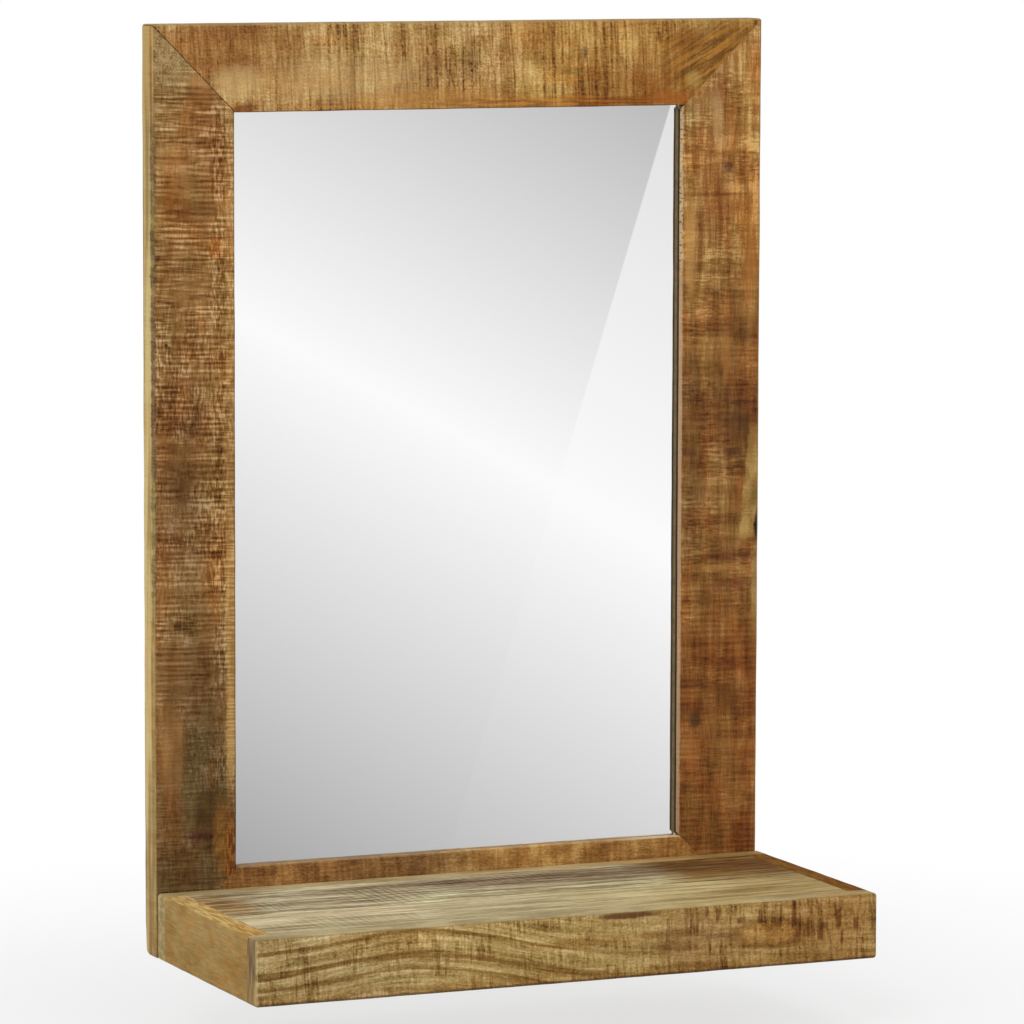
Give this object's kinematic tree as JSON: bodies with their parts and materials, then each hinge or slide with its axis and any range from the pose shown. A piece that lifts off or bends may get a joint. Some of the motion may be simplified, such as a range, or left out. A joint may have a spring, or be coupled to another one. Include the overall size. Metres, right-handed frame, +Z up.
{
  "type": "wall mirror with shelf",
  "caption": "Portrait wall mirror in a mitred, rough-sawn wooden frame, with a box shelf across its foot and keyhole hangers on its back.",
  "frame": {"origin": "midway between the round entry holes of the two keyhole hangers, on the wall plane", "axes": "+X to the right as seen from the front, +Y into the wall, +Z up"},
  "size_m": [0.502, 0.23, 0.7],
  "materials": {
    "honey_wood": "rough-sawn hardwood, honey brown with darker saw marks across the grain, oiled",
    "umber_wood": "rough-sawn hardwood, darker brown with olive and orange streaks, oiled",
    "straw_wood": "sanded hardwood, pale straw with brown grain lines, oiled",
    "taupe_wood": "sanded hardwood, grey brown with darker streaks, oiled",
    "golden_wood": "sanded hardwood, golden tan, oiled",
    "beech": "plain planed wood, raw",
    "fibreboard": "thin brown fibreboard, raw",
    "silvered_glass": "float glass, silvered on its back",
    "zinc_steel": "zinc-plated steel"
  },
  "bodies": {
    "root": {"top_rail": "honey_wood", "bottom_rail": "umber_wood", "left_stile": "umber_wood", "right_stile": "honey_wood", "mitre_dowels": "beech", "mirror_pane": "silvered_glass", "backing_board": "fibreboard", "backing_screws": "zinc_steel", "left_hanger_plate": "zinc_steel", "right_hanger_plate": "zinc_steel", "hanger_screws": "zinc_steel", "shelf_front_board": "straw_wood", "shelf_back_board": "taupe_wood", "shelf_left_end": "golden_wood", "shelf_right_end": "golden_wood", "shelf_top_rear_board": "taupe_wood", "shelf_top_front_board": "straw_wood", "shelf_front_cleat": "beech", "shelf_back_cleat": "beech", "shelf_left_cleat": "beech", "shelf_right_cleat": "beech", "shelf_dowels": "beech", "cleat_screws": "zinc_steel", "shelf_fixing_screws": "zinc_steel"}
  },
  "joints": []
}
